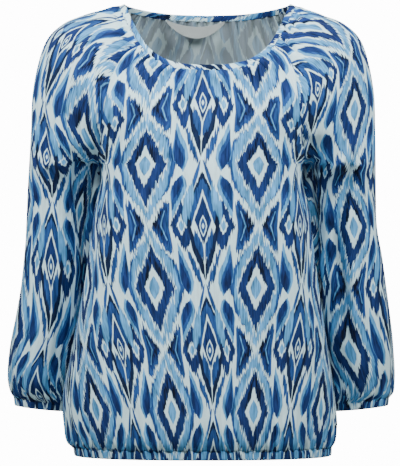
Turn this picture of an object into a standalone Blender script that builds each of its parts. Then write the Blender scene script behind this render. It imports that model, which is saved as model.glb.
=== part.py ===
"""A printed woven blouse with raglan sleeves, filled out as it is when worn.

Units are metres, with +Z up. The front faces -Y, and the wearer's left arm is at +X.
The origin is midway between the two shoulder points at the top of the neckline.
Every wall starts as an open grid of points, and Solidify gives it its thickness.
"""

from collections import namedtuple
import math

import bpy
import numpy as np

# Cloth and seams: the gaps are measured between the middles of the walls
CLOTH_WALL = 0.0012
BAND_WALL = 0.0024
SEAM_GAP = 0.0003
EDGE_GAP = 0.0007
RAGLAN_GAP = 0.0007
UNDERARM_GAP = 0.0022

# Neckline: its loop in plan is close to an ellipse about NECK_CENTRE, NECK_MIDDLE_Y
NECK_CENTRE = 0.009
NECK_HALF_WIDTH = 0.1155
NECK_MIDDLE_Y = 0.010
NECK_DEPTH = 0.095
BINDING_WIDTH = 0.0095
FRONT_SEAM_ANGLE = 48.0
BACK_SEAM_ANGLE = 128.0

# Heights of the armpit and the two kinds of casing; the inner side of a cuff hangs lower
ARMPIT_Z = -0.2260
HEM_TOP = -0.6185
HEM_CASING = 0.0130
CUFF_TOP = -0.5520
CUFF_CASING = 0.0120
CUFF_DROP = 0.0080
CUFF_DROP_LENGTH = 0.1500

# Columns and rows of the grids: a gather is two columns wide
BODY_COLUMNS = 64
SLEEVE_COLUMNS = 32
CAP_ROWS = 7
BODY_ROWS = 6
TUBE_ROWS = 7
BINDING_COLUMNS = 96
HEM_COLUMNS = 128
CUFF_COLUMNS = 36

# Gathers: how far they stand out, how long they run, and the ruching of the bands
NECK_GATHER = 0.0020
NECK_GATHER_LENGTH = 0.070
HEM_GATHER = 0.0024
HEM_GATHER_LENGTH = 0.050
CUFF_GATHER = 0.0022
CUFF_GATHER_LENGTH = 0.055
GATHER_AT_SEAM = 0.2
GATHER_RISE = 0.0140
CAP_ROW_STEP = 0.018
CASING_RUCHE = 0.0011
CUFF_RUCHE = 0.0009
BINDING_RUCHE = 0.0003
BAND_STRENGTHS = ((0.7,), (1.0,), (0.8,))
UNEVENNESS = ((0.30, 2.4, 1), (0.15, 1.1, 2))

# Shape of the sections and how far the seams' own lines are carried into the panels
BODY_SQUARENESS = 2.3
NECK_BLEND = 0.60
CAP_BLEND = 0.35
CAP_NARROWING = 0.24
ARMPIT_BLEND = 0.060
ROW_CROWDING = 0.62
SIDE_POWER = 9
FOLD_TAPER = 0.8

NeckRow = namedtuple("NeckRow", "angle half_width y z lean")
NECK = (
    NeckRow(0, 0.0000, -0.089, -0.0890, 22),
    NeckRow(15, 0.0340, -0.086, -0.0872, 24),
    NeckRow(28, 0.0590, -0.078, -0.0800, 28),
    NeckRow(40, 0.0785, -0.064, -0.0665, 36),
    NeckRow(52, 0.0925, -0.046, -0.0480, 46),
    NeckRow(65, 0.1035, -0.024, -0.0265, 57),
    NeckRow(78, 0.1115, -0.001, -0.0085, 65),
    NeckRow(90, 0.1155, 0.020, 0.0000, 68),
    NeckRow(105, 0.1120, 0.045, -0.0005, 56),
    NeckRow(125, 0.0940, 0.066, -0.0040, 38),
    NeckRow(150, 0.0550, 0.084, -0.0090, 22),
    NeckRow(180, 0.0000, 0.090, -0.0110, 18),
)

# Plain sections of the body. Above the armpit the half width is that of the whole
# yoke, which runs on into the sleeves, and the raglan seams cut the panels from it
TorsoRow = namedtuple("TorsoRow", "z shift half_width front back")
TORSO = (
    TorsoRow(0.000, 0.009, 0.272, 0.020, 0.080),
    TorsoRow(-0.030, 0.008, 0.262, 0.045, 0.091),
    TorsoRow(-0.060, 0.006, 0.248, 0.070, 0.099),
    TorsoRow(-0.095, 0.003, 0.226, 0.091, 0.106),
    TorsoRow(-0.150, 0.001, 0.190, 0.112, 0.113),
    TorsoRow(-0.190, 0.001, 0.160, 0.119, 0.116),
    TorsoRow(ARMPIT_Z, 0.001, 0.143, 0.123, 0.116),
    TorsoRow(-0.300, 0.001, 0.151, 0.125, 0.114),
    TorsoRow(-0.400, 0.000, 0.164, 0.123, 0.113),
    TorsoRow(-0.500, -0.002, 0.181, 0.126, 0.119),
    TorsoRow(-0.560, -0.003, 0.190, 0.132, 0.127),
    TorsoRow(-0.592, -0.001, 0.189, 0.134, 0.129),
    TorsoRow(-0.608, 0.000, 0.185, 0.132, 0.127),
    TorsoRow(-0.618, 0.002, 0.180, 0.127, 0.122),
    TorsoRow(-0.633, 0.003, 0.178, 0.126, 0.121),
)

# A raglan seam runs from the neck binding to the armpit; share goes from 0 to 1.
# Its depth from front to back is that of the torso section at its height
SeamRow = namedtuple("SeamRow", "share x z")
FRONT_SEAM = (
    SeamRow(0.00, 0.0900, -0.0640),
    SeamRow(0.16, 0.1100, -0.0760),
    SeamRow(0.34, 0.1245, -0.1020),
    SeamRow(0.52, 0.1325, -0.1380),
    SeamRow(0.70, 0.1380, -0.1760),
    SeamRow(0.86, 0.1415, -0.2080),
    SeamRow(1.00, 0.1430, ARMPIT_Z),
)
BACK_SEAM = (
    SeamRow(0.00, 0.0960, -0.0120),
    SeamRow(0.16, 0.1080, -0.0380),
    SeamRow(0.34, 0.1205, -0.0760),
    SeamRow(0.52, 0.1305, -0.1220),
    SeamRow(0.70, 0.1375, -0.1700),
    SeamRow(0.86, 0.1415, -0.2070),
    SeamRow(1.00, 0.1430, ARMPIT_Z),
)

# The top line of the shoulder, and how far the sleeve reaches to front and back there
ShoulderRow = namedtuple("ShoulderRow", "share right_x left_x y z half_depth")
SHOULDER = (
    ShoulderRow(0.00, 0.1160, 0.1330, 0.020, -0.0040, 0.060),
    ShoulderRow(0.14, 0.1340, 0.1470, 0.020, -0.0090, 0.080),
    ShoulderRow(0.30, 0.1650, 0.1720, 0.020, -0.0155, 0.094),
    ShoulderRow(0.44, 0.1935, 0.2010, 0.020, -0.0270, 0.099),
    ShoulderRow(0.56, 0.2155, 0.2230, 0.019, -0.0480, 0.099),
    ShoulderRow(0.68, 0.2285, 0.2355, 0.018, -0.0830, 0.092),
    ShoulderRow(0.79, 0.2365, 0.2430, 0.016, -0.1280, 0.080),
    ShoulderRow(0.90, 0.2385, 0.2445, 0.014, -0.1800, 0.067),
    ShoulderRow(1.00, 0.2410, 0.2450, 0.012, ARMPIT_Z, 0.058),
)

SleeveRow = namedtuple("SleeveRow", "z right_outer left_outer inner outer_y inner_y half_depth")
SLEEVE = (
    SleeveRow(ARMPIT_Z, 0.2410, 0.2450, 0.1430, 0.012, 0.000, 0.058),
    SleeveRow(-0.245, 0.2425, 0.2455, 0.1440, 0.019, 0.020, 0.058),
    SleeveRow(-0.265, 0.2440, 0.2460, 0.1461, 0.026, 0.031, 0.059),
    SleeveRow(-0.308, 0.2460, 0.2475, 0.1522, 0.035, 0.036, 0.060),
    SleeveRow(-0.353, 0.2485, 0.2545, 0.1552, 0.040, 0.040, 0.061),
    SleeveRow(-0.398, 0.2530, 0.2605, 0.1610, 0.043, 0.043, 0.062),
    SleeveRow(-0.442, 0.2610, 0.2665, 0.1675, 0.045, 0.045, 0.062),
    SleeveRow(-0.487, 0.2695, 0.2710, 0.1753, 0.046, 0.046, 0.061),
    SleeveRow(-0.512, 0.2720, 0.2720, 0.1808, 0.046, 0.046, 0.059),
    SleeveRow(-0.532, 0.2710, 0.2710, 0.1848, 0.046, 0.046, 0.054),
    SleeveRow(-0.545, 0.2670, 0.2685, 0.1862, 0.045, 0.045, 0.047),
    SleeveRow(-0.552, 0.2635, 0.2645, 0.1882, 0.044, 0.044, 0.041),
    SleeveRow(-0.565, 0.2615, 0.2625, 0.1892, 0.044, 0.044, 0.040),
)

# Broad folds of the body: across runs from -1 to 1 between the side seams
BodyFold = namedtuple("BodyFold", "across_top z_top across_low z_low width height")
FRONT_FOLDS = (
    BodyFold(-0.84, -0.200, -0.80, -0.440, 0.090, -0.0040),
    BodyFold(0.84, -0.190, 0.82, -0.460, 0.090, -0.0040),
    BodyFold(-0.52, -0.120, -0.62, -0.560, 0.085, 0.0034),
    BodyFold(0.50, -0.110, 0.60, -0.580, 0.085, 0.0034),
    BodyFold(-0.20, -0.110, -0.26, -0.330, 0.070, 0.0022),
    BodyFold(0.16, -0.110, 0.22, -0.380, 0.070, 0.0024),
    BodyFold(-0.34, -0.380, -0.40, -0.615, 0.080, -0.0032),
    BodyFold(0.30, -0.400, 0.36, -0.615, 0.080, -0.0030),
    BodyFold(0.02, -0.350, -0.04, -0.610, 0.075, 0.0028),
)
BACK_FOLDS = (
    BodyFold(-0.84, -0.190, -0.82, -0.420, 0.090, -0.0040),
    BodyFold(0.84, -0.200, 0.80, -0.450, 0.090, -0.0040),
    BodyFold(-0.46, -0.070, -0.56, -0.560, 0.085, 0.0034),
    BodyFold(0.44, -0.060, 0.58, -0.520, 0.085, 0.0032),
    BodyFold(-0.14, -0.050, -0.20, -0.420, 0.070, 0.0026),
    BodyFold(0.18, -0.050, 0.24, -0.350, 0.070, 0.0024),
    BodyFold(-0.30, -0.360, -0.36, -0.615, 0.080, -0.0030),
    BodyFold(0.34, -0.380, 0.30, -0.610, 0.080, -0.0032),
    BodyFold(0.02, -0.390, 0.05, -0.600, 0.075, 0.0028),
)

# Broad folds of a sleeve: around runs from -1 at the front of the underarm seam,
# through 0 at the outer side, to 1 at the back of the underarm seam
SleeveFold = namedtuple("SleeveFold", "around_top z_top around_low z_low width height")
SLEEVE_FOLDS = (
    SleeveFold(-0.30, -0.210, -0.66, -0.400, 0.110, 0.0042),
    SleeveFold(-0.62, -0.200, -0.80, -0.330, 0.090, -0.0042),
    SleeveFold(-0.36, -0.330, -0.50, -0.530, 0.110, -0.0036),
    SleeveFold(-0.12, -0.330, -0.26, -0.540, 0.120, 0.0036),
    SleeveFold(0.34, -0.190, 0.64, -0.390, 0.110, 0.0040),
    SleeveFold(0.62, -0.210, 0.78, -0.340, 0.090, -0.0040),
    SleeveFold(0.30, -0.350, 0.44, -0.540, 0.110, -0.0036),
    SleeveFold(0.10, -0.400, 0.12, -0.545, 0.100, 0.0030),
)

# Label: a folded strip sewn at its two ends, whose middle hangs away from the back
LABEL_HALF_LENGTH = 0.041
LABEL_MIDDLE_HEIGHT = 0.0170
LABEL_END_HEIGHT = 0.0040
LABEL_BOW = 0.0110
LABEL_SAG = 0.0085
LABEL_TILT = 0.0050
LABEL_WALL = 0.0010
LABEL_COLUMNS = 12
LABEL_ROWS = 3
LABEL_SHIFT = -0.0165
LABEL_ALONG = 0.0090
LABEL_CLEARANCE = 0.0003

# Colours and roughness
BLUE_PRINT = (0.20, 0.36, 0.66, 1.0)
WHITE_SATIN = (0.86, 0.87, 0.86, 1.0)
CLOTH_ROUGHNESS = 0.85
LABEL_ROUGHNESS = 0.60


def smooth_read(knots, values, at):
    """Read a smooth cubic curve through the knots; its slopes come from the neighbours."""
    knots = np.asarray(knots, float)
    values = np.asarray(values, float)
    at = np.clip(at, knots[0], knots[-1])
    slopes = np.gradient(values, knots)
    low = np.clip(np.searchsorted(knots, at, side="right") - 1, 0, len(knots) - 2)
    span = knots[low + 1] - knots[low]
    t = (at - knots[low]) / span
    start = (1 + 2 * t) * (1 - t) ** 2 * values[low] + t * (1 - t) ** 2 * span * slopes[low]
    end = t * t * (3 - 2 * t) * values[low + 1] - t * t * (1 - t) * span * slopes[low + 1]
    return start + end


def read(rows, column, at):
    """Read one named column of a table at a value of its first column."""
    key = rows[0]._fields[0]
    ordered = sorted(rows, key=lambda row: getattr(row, key))
    knots = [getattr(row, key) for row in ordered]
    values = [getattr(row, column) for row in ordered]
    return smooth_read(knots, values, at)


def fade(t):
    """1 at t = 0, falling smoothly to 0 at t = 1."""
    t = np.clip(t, 0.0, 1.0)
    return (1 - t) ** 2 * (1 + 2 * t)


def signed_power(value, power):
    """A power that keeps the sign, for the sections' rounded corners."""
    return np.sign(value) * np.abs(value) ** power


def crowded_rows(count):
    """Shares from 0 to 1, closer together towards 1."""
    u = np.linspace(0.0, 1.0, count + 1)
    return u + ROW_CROWDING * np.sin(np.pi * u) / np.pi


def neck_point(angle, along):
    """A point of the binding: angle 0 at the centre front, 90 at the left shoulder."""
    turn = np.abs(angle)
    sign = np.sign(angle)
    half_width = read(NECK, "half_width", turn)
    y = read(NECK, "y", turn)
    z = read(NECK, "z", turn)
    lean = np.radians(read(NECK, "lean", turn))
    out_x = sign * half_width / NECK_HALF_WIDTH
    out_y = (y - NECK_MIDDLE_Y) / NECK_DEPTH
    length = np.hypot(out_x, out_y)
    x = NECK_CENTRE + sign * half_width + along * np.sin(lean) * out_x / length
    y = y + along * np.sin(lean) * out_y / length
    z = z - along * np.cos(lean)
    return np.stack([x, y, z], axis=-1)


def seam_rows(facing):
    return FRONT_SEAM if facing < 0 else BACK_SEAM


def section_depth(facing, z):
    return read(TORSO, "front" if facing < 0 else "back", z)


def seam_turn(facing, share):
    """How far round the torso section, in radians, a point of the raglan seam lies."""
    rows = seam_rows(facing)
    ratio = read(rows, "x", share) / read(TORSO, "half_width", read(rows, "z", share))
    return np.arcsin(np.clip(ratio, 0.0, 1.0) ** (BODY_SQUARENESS / 2))


def section_point(facing, turn, z):
    """A point of a torso section: turn is 0 at its middle and a quarter turn at its side."""
    power = 2 / BODY_SQUARENESS
    x = read(TORSO, "shift", z) + read(TORSO, "half_width", z) * signed_power(np.sin(turn), power)
    depth = section_depth(facing, z) * np.clip(np.cos(turn), 0.0, 1.0) ** power
    return np.stack([x, facing * (depth + SEAM_GAP / 2), z], axis=-1)


def raglan_gap(share):
    """The free space widens towards the armpit, where both walls hang side by side."""
    return RAGLAN_GAP + (UNDERARM_GAP - RAGLAN_GAP) * share ** 3


def neckline(facing, across):
    """The upper edge of a body panel, just below the neck binding."""
    if facing < 0:
        angle = across * FRONT_SEAM_ANGLE
    else:
        turned = 180 - np.abs(across) * (180 - BACK_SEAM_ANGLE)
        angle = np.where(across < 0, -turned, turned)
    return neck_point(angle, BINDING_WIDTH + EDGE_GAP)


def seam_point(facing, side, share):
    """A point of the sleeve's edge at a raglan seam, half the gap away from the seam."""
    rows = seam_rows(facing)
    corner = neckline(facing, np.float64(side))
    pull = corner - section_point(facing, side * seam_turn(facing, 0.0), rows[0].z)
    point = section_point(facing, side * seam_turn(facing, share), read(rows, "z", share))
    point = point + pull * fade(share / NECK_BLEND)
    point[0] += side * raglan_gap(share) / 2
    return point


def body_grid(facing):
    """The smooth panel: rows from raglan seam to raglan seam, then from side to side."""
    across = np.linspace(-1.0, 1.0, BODY_COLUMNS + 1)
    top = neckline(facing, across)
    rows = []
    for share in np.linspace(0.0, 1.0, CAP_ROWS + 1):
        seam_z = read(seam_rows(facing), "z", share)
        z = seam_z + (top[:, 2] - top[0, 2]) * fade(share)
        row = section_point(facing, across * seam_turn(facing, share), z)
        if share == 0:
            pull = top - row
        row = row + pull * fade(share / NECK_BLEND)
        row[0, 0] += raglan_gap(share) / 2
        row[-1, 0] -= raglan_gap(share) / 2
        rows.append(row)
    for share in crowded_rows(BODY_ROWS)[1:]:
        z = np.full_like(across, ARMPIT_Z + (HEM_TOP - ARMPIT_Z) * share)
        row = section_point(facing, across * np.pi / 2, z)
        near_armpit = across ** SIDE_POWER * fade((ARMPIT_Z - z) / ARMPIT_BLEND)
        row[:, 0] -= near_armpit * UNDERARM_GAP / 2
        rows.append(row)
    return np.array(rows)


def grid_normals(grid, inside):
    """Unit normals of a grid of points, turned away from the points inside."""
    down = np.gradient(grid, axis=0)
    along = np.gradient(grid, axis=1)
    normals = np.cross(along, down)
    normals /= np.linalg.norm(normals, axis=-1, keepdims=True)
    outward = grid - inside
    flip = np.sign(np.sum(normals * outward, axis=-1))
    return normals * flip[..., None]


def fold_heights(folds, across, z):
    """The heights of broad folds: soft ridges or troughs that taper at both ends."""
    total = np.zeros(z.shape)
    for fold in folds:
        first, z_top, last, z_low, width, height = fold
        share = (z_top - z) / (z_top - z_low)
        centre = first + (last - first) * share
        taper = np.sin(np.pi * np.clip(share, 0.0, 1.0)) ** FOLD_TAPER
        total += height * taper * np.exp(-((across - centre) / width) ** 2)
    return total


def zigzag(count, seed):
    """Alternate signs for the columns, each of a different strength. Two slow waves,
    given by their sizes and steps, keep the strengths uneven."""
    column = np.arange(count)
    strength = np.ones(count)
    for size, step, start in UNEVENNESS:
        strength += size * np.sin(step * column + start * seed)
    return np.where(column % 2 == 0, strength, -strength)


def gather_height(distance, height, length):
    """The height of a gather at a distance from its seam, small at the seam itself."""
    rise = GATHER_AT_SEAM + (1 - GATHER_AT_SEAM) * np.clip(distance / GATHER_RISE, 0, 1)
    return height * rise * fade(distance / length)


def folded_body(facing):
    """A body panel with its broad folds and its gathers at the neck and the hem."""
    grid = body_grid(facing)
    across = np.broadcast_to(np.linspace(-1.0, 1.0, BODY_COLUMNS + 1), grid.shape[:2])
    z = grid[..., 2]
    heights = fold_heights(FRONT_FOLDS if facing < 0 else BACK_FOLDS, across, z)
    neck = gather_height(z[0] - z, NECK_GATHER, NECK_GATHER_LENGTH)
    hem = gather_height(z - HEM_TOP, HEM_GATHER, HEM_GATHER_LENGTH)
    heights = heights + (neck + hem) * zigzag(BODY_COLUMNS + 1, 1.0 + facing)
    heights = heights * seam_freedom(BODY_COLUMNS + 1)
    inside = grid * np.array([0.0, 0.0, 1.0])
    return grid + grid_normals(grid, inside) * heights[..., None]


def sleeve_ring(side, share, around):
    """An open ring of the sleeve cap, from the front seam over the shoulder to the back seam."""
    front = seam_point(-1, side, share)
    back = seam_point(1, side, share)
    top_x = read(SHOULDER, "left_x" if side > 0 else "right_x", share)
    top = np.array([side * top_x, read(SHOULDER, "y", share), read(SHOULDER, "z", share)])
    chord = back - front
    half_chord = np.linalg.norm(chord) / 2
    half_depth = max(read(SHOULDER, "half_depth", share), half_chord)
    if share < 1:
        opening = math.asin(min(1.0, half_chord / half_depth))
        depth_axis = chord / (2 * half_chord) * half_depth
    else:
        opening = 0.0
        depth_axis = np.array([0.0, half_depth, 0.0])
    narrowing = CAP_NARROWING * math.sin(math.pi * share)
    depth_axis = depth_axis / (1 + narrowing * math.cos(opening))
    out_axis = (top - (front + back) / 2) / (1 + math.cos(opening))
    centre = top - out_axis
    turn = around * (math.pi - opening)
    reach = np.sin(turn) * (1 - narrowing * np.cos(turn))
    return centre + np.outer(np.cos(turn), out_axis) + np.outer(reach, depth_axis)


def tube_ring(side, z, around):
    """A closed ring of the sleeve below the armpit."""
    outer = read(SLEEVE, "left_outer" if side > 0 else "right_outer", z)
    inner = read(SLEEVE, "inner", z) + UNDERARM_GAP / 2 + side * read(TORSO, "shift", z)
    outer_y = read(SLEEVE, "outer_y", z)
    inner_y = read(SLEEVE, "inner_y", z)
    half_depth = read(SLEEVE, "half_depth", z)
    turn = around * np.pi
    x = (outer + inner) / 2 + (outer - inner) / 2 * np.cos(turn)
    y = (outer_y + inner_y) / 2 + (outer_y - inner_y) / 2 * np.cos(turn) + half_depth * np.sin(turn)
    drop = CUFF_DROP * fade((z - CUFF_TOP) / CUFF_DROP_LENGTH) * (0.5 - 0.5 * np.cos(turn))
    return np.stack([side * x, y, z - drop], axis=-1)


def sleeve_grid(side):
    """The smooth sleeve: cap rings, then tube rings down to the cuff."""
    around = np.linspace(-1.0, 1.0, SLEEVE_COLUMNS + 1)
    angles = FRONT_SEAM_ANGLE + (BACK_SEAM_ANGLE - FRONT_SEAM_ANGLE) * (around + 1) / 2
    top = neck_point(side * angles, BINDING_WIDTH + EDGE_GAP)
    top[0, 0] += side * RAGLAN_GAP / 2
    top[-1, 0] += side * RAGLAN_GAP / 2
    pull = top - sleeve_ring(side, 0.0, around)
    rows = []
    for share in np.linspace(0.0, 1.0, CAP_ROWS + 1):
        rows.append(sleeve_ring(side, share, around) + pull * fade(share / CAP_BLEND))
    for share in crowded_rows(TUBE_ROWS)[1:]:
        rows.append(tube_ring(side, ARMPIT_Z + (CUFF_TOP - ARMPIT_Z) * share, around))
    return np.array(rows)


def seam_freedom(columns):
    """0 on the first and last columns, which are sewn, and 1 two columns away."""
    column = np.arange(columns)
    return np.clip(np.minimum(column, column[::-1]) / 2, 0, 1)


def folded_sleeve(side):
    """A sleeve with its broad folds and its gathers at the neck and the cuff."""
    grid = sleeve_grid(side)
    z = grid[..., 2]
    around = np.broadcast_to(np.linspace(-1.0, 1.0, SLEEVE_COLUMNS + 1), z.shape)
    heights = fold_heights(SLEEVE_FOLDS, around, z)
    cuff = gather_height(z - CUFF_TOP, CUFF_GATHER, CUFF_GATHER_LENGTH)
    from_neck = np.arange(len(grid))[:, None] * CAP_ROW_STEP
    neck = gather_height(from_neck, NECK_GATHER, NECK_GATHER_LENGTH)
    heights = heights + (cuff + neck) * zigzag(grid.shape[1], 2.0 + side)
    heights = heights * seam_freedom(SLEEVE_COLUMNS + 1)
    inside = grid[:, :1] * 0.5 + grid[:, SLEEVE_COLUMNS // 2][:, None] * 0.5
    return grid + grid_normals(grid, inside) * heights[..., None]


def ring_of(points_at, columns, ruche, seed):
    """A band with a fold on every second column; its two edges are rows of a grid."""
    turn = np.arange(columns) / columns
    rows = np.array([points_at(turn, edge) for edge in (0.0, 0.5, 1.0)])
    centre = rows.mean(axis=1, keepdims=True)
    outward = rows - centre
    outward[..., 2] = 0
    outward /= np.linalg.norm(outward, axis=-1, keepdims=True)
    strength = np.array(BAND_STRENGTHS) * zigzag(columns, seed)
    return rows + outward * (ruche * strength)[..., None]


def binding_band():
    """The strip round the neckline, lying as the shoulders do."""
    def at(turn, edge):
        return neck_point(360 * turn - 180, edge * BINDING_WIDTH)
    return ring_of(at, BINDING_COLUMNS, BINDING_RUCHE, 0.5)


def hem_band():
    """The casing follows the two body panels' lower edges, a seam below them."""
    def at(turn, edge):
        z = HEM_TOP - EDGE_GAP - edge * HEM_CASING
        across = np.where(turn < 0.5, 4 * turn - 1, 3 - 4 * turn)
        heights = np.full_like(turn, z)
        front = section_point(-1, across * np.pi / 2, heights)
        back = section_point(1, across * np.pi / 2, heights)
        return np.where((turn < 0.5)[:, None], front, back)
    return ring_of(at, HEM_COLUMNS, CASING_RUCHE, 1.5)


def cuff_band(side):
    """The casing carries the sleeve's last ring on down."""
    def at(turn, edge):
        z = CUFF_TOP - EDGE_GAP - edge * CUFF_CASING
        return tube_ring(side, z, 2 * turn - 1)
    return ring_of(at, CUFF_COLUMNS, CUFF_RUCHE, 2.5 + side)


def label_grid():
    """The strip starts at the binding's inner face and bows forwards from the back."""
    rows = []
    for down in np.linspace(0.0, 1.0, LABEL_ROWS + 1):
        u = np.linspace(-1.0, 1.0, LABEL_COLUMNS + 1)
        middle = 1 - u * u
        x = LABEL_SHIFT + NECK_CENTRE + u * LABEL_HALF_LENGTH
        turn = 180 - np.degrees(np.arcsin(np.clip(np.abs(x - NECK_CENTRE) / NECK_HALF_WIDTH, 0, 1)))
        seat = neck_point(turn, LABEL_ALONG)
        height = LABEL_END_HEIGHT + (LABEL_MIDDLE_HEIGHT - LABEL_END_HEIGHT) * middle
        stand_off = BAND_WALL / 2 + LABEL_WALL / 2 + BINDING_RUCHE + LABEL_CLEARANCE
        y = seat[:, 1] - stand_off - LABEL_BOW * middle - LABEL_TILT * down * middle
        z = seat[:, 2] - LABEL_SAG * middle - height * down
        rows.append(np.stack([x, y, z], axis=-1))
    return np.array(rows)


def mesh_from_grid(name, grid, closed, weld_from=None):
    """Quads over a grid of points. A closed grid joins its last column to its first;
    from the row weld_from down, the last column is the first one."""
    row_count, column_count = grid.shape[:2]
    number = np.arange(row_count * column_count).reshape(row_count, column_count)
    if weld_from is not None:
        number[weld_from:, -1] = number[weld_from:, 0]
    used = sorted(set(number.ravel().tolist()))
    order = {old: new for new, old in enumerate(used)}
    points = grid.reshape(-1, 3)[used]
    last = column_count if closed else column_count - 1
    faces = []
    for row in range(row_count - 1):
        for column in range(last):
            right = (column + 1) % column_count
            corners = (number[row, column], number[row, right],
                       number[row + 1, right], number[row + 1, column])
            faces.append([order[int(corner)] for corner in corners])
    mesh = bpy.data.meshes.new(name)
    mesh.from_pydata(points.tolist(), [], faces)
    mesh.validate()
    mesh.update()
    return mesh


def wall(name, mesh, thickness, surface, collection):
    """A sewn piece: an open surface with an even wall about it."""
    piece = bpy.data.objects.new(name, mesh)
    mesh.materials.append(surface)
    mesh.shade_smooth()
    solidify = piece.modifiers.new("Wall", "SOLIDIFY")
    solidify.thickness = thickness
    solidify.offset = 0
    solidify.use_even_offset = False
    solidify.use_rim = True
    collection.objects.link(piece)
    return piece


def material(name, colour, roughness):
    """A plain material in the piece's colour."""
    made = bpy.data.materials.new(name)
    made.use_nodes = True
    shader = made.node_tree.nodes["Principled BSDF"]
    shader.inputs["Base Color"].default_value = colour
    shader.inputs["Roughness"].default_value = roughness
    shader.inputs["Metallic"].default_value = 0.0
    return made


def main():
    for old in list(bpy.data.objects):
        bpy.data.objects.remove(old)
    blouse = bpy.data.collections.new("blouse")
    bpy.context.scene.collection.children.link(blouse)

    def sewn(name, grid, thickness, closed=False, weld_from=None, colour=BLUE_PRINT,
             roughness=CLOTH_ROUGHNESS):
        mesh = mesh_from_grid(name, grid, closed, weld_from)
        wall(name, mesh, thickness, material(name, colour, roughness), blouse)

    sewn("front", folded_body(-1), CLOTH_WALL)
    sewn("back", folded_body(1), CLOTH_WALL)
    for side, name in ((1, "left"), (-1, "right")):
        sewn("sleeve_" + name, folded_sleeve(side), CLOTH_WALL, weld_from=CAP_ROWS)
        sewn("cuff_casing_" + name, cuff_band(side), BAND_WALL, closed=True)
    sewn("neck_binding", binding_band(), BAND_WALL, closed=True)
    sewn("hem_casing", hem_band(), BAND_WALL, closed=True)
    sewn("label", label_grid(), LABEL_WALL, colour=WHITE_SATIN, roughness=LABEL_ROUGHNESS)


main()
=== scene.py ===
"""Looks of the printed blouse: thin cloth on the solids' form, its print and the studio.

Units are metres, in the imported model's frame: +Z up, front towards -Y, wearer's left at +X.
The tables and section functions repeat the part's own sizes, read here on finer grids.
Tables are written in millimetres, degrees and percent.
"""

from collections import namedtuple
import math

import bpy
import numpy as np
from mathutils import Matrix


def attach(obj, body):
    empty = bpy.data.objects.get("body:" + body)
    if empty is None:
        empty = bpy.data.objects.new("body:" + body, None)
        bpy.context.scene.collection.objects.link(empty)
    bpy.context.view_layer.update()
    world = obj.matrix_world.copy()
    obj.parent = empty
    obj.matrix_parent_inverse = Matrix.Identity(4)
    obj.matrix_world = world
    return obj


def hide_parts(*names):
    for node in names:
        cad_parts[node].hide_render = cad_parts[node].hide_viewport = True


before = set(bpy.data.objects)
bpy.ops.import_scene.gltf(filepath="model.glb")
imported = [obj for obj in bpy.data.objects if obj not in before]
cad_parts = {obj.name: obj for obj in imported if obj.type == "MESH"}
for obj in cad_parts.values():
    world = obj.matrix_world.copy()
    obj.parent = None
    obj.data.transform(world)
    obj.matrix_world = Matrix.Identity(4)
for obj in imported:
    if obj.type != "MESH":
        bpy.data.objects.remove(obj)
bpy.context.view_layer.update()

MM = 1000.0
SHARES = "share across_top across_low width ridge_top ridge_low rise fullness tilt".split()
SCALES = {"angle": 1.0, "lean": 1.0, **dict.fromkeys(SHARES, 100.0)}


def table(kind, rows):
    """Rows of one kind, turned into metres, degrees and shares."""
    scales = [SCALES.get(column, MM) for column in kind._fields]
    return tuple(kind(*np.divide(row, scales)) for row in rows)


# Neckline, seams and casings, as in the part
NECK_CENTRE = 0.009
NECK_HALF_WIDTH = 0.1155
NECK_MIDDLE_Y = 0.010
NECK_DEPTH = 0.095
BINDING_WIDTH = 0.0095
FRONT_SEAM_ANGLE = 48.0
BACK_SEAM_ANGLE = 128.0
ARMPIT = -226
ARMPIT_Z = ARMPIT / MM
HEM_TOP = -0.6185
HEM_CASING = 0.013
CUFF_TOP = -0.552
CUFF_CASING = 0.012
CUFF_DROP = 0.008
CUFF_DROP_LENGTH = 0.15
BODY_SQUARENESS = 2.3
NECK_BLEND = 0.60
CAP_BLEND = 0.35
CAP_NARROWING = 0.24
FOLD_TAPER = 0.8
HOLLOW_TAPER = 0.7
GAP_WIDENING = 6

# The cloth, and how the sewn edges meet: panels reach a little way into the bands
CLOTH_WALL = 0.0008
BAND_WALL = 0.0024
PANEL_GAP = 0.0002
TUCK = 0.0012
UNDERARM_GAP = 0.0008
SEAM_SWELL = 0.0008
# How many columns of a grid the swell takes, and how many pass before folds are free
BODY_SWELL_COLUMNS = 10
SLEEVE_SWELL_COLUMNS = 8
FREE_COLUMNS = 8

# Uneven waves, as sums of (strength, pace, how far the seed shifts it)
GATHER_WAVE = ((0.6, 5.3, 1), (0.4, 11.9, 2.3), (0.25, 23.1, 4.1))
RUCHE_DRIFT = ((0.5, 7, 1), (0.35, 17, 2))
RUCHE_SIZE = ((0.3, 11, 1), (0.25, 29, 3))

# Fineness of the grids
BODY_COLUMNS = 300
BODY_CAP_ROWS = 56
BODY_LOW_ROWS = 102
SLEEVE_COLUMNS = 216
SLEEVE_CAP_ROWS = 48
SLEEVE_LOW_ROWS = 108
BAND_AROUND = 14

# Gathers: how many across a piece, how high, and how far they run from the seam
Gathers = namedtuple("Gathers", "count height length")
FRONT_NECK = Gathers(22, 0.0034, 0.062)
BACK_NECK = Gathers(15, 0.0034 * 0.6, 0.062)
SLEEVE_NECK = Gathers(13, 0.0034, 0.062)
HEM = Gathers(36, 0.0034, 0.056)
CUFF = Gathers(20, 0.0028, 0.054)
GATHER_RISE = 0.010
GATHER_SHARPNESS = 0.75
GATHER_DRIFT = 0.014
SHORT_GATHERS = 0.4
# How strong gathers and ruches are right at a seam, and how uneven their size and reach
AT_SEAM = 0.35
UNEVEN_SIZE = 0.35
UNEVEN_REACH = 0.45

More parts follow.
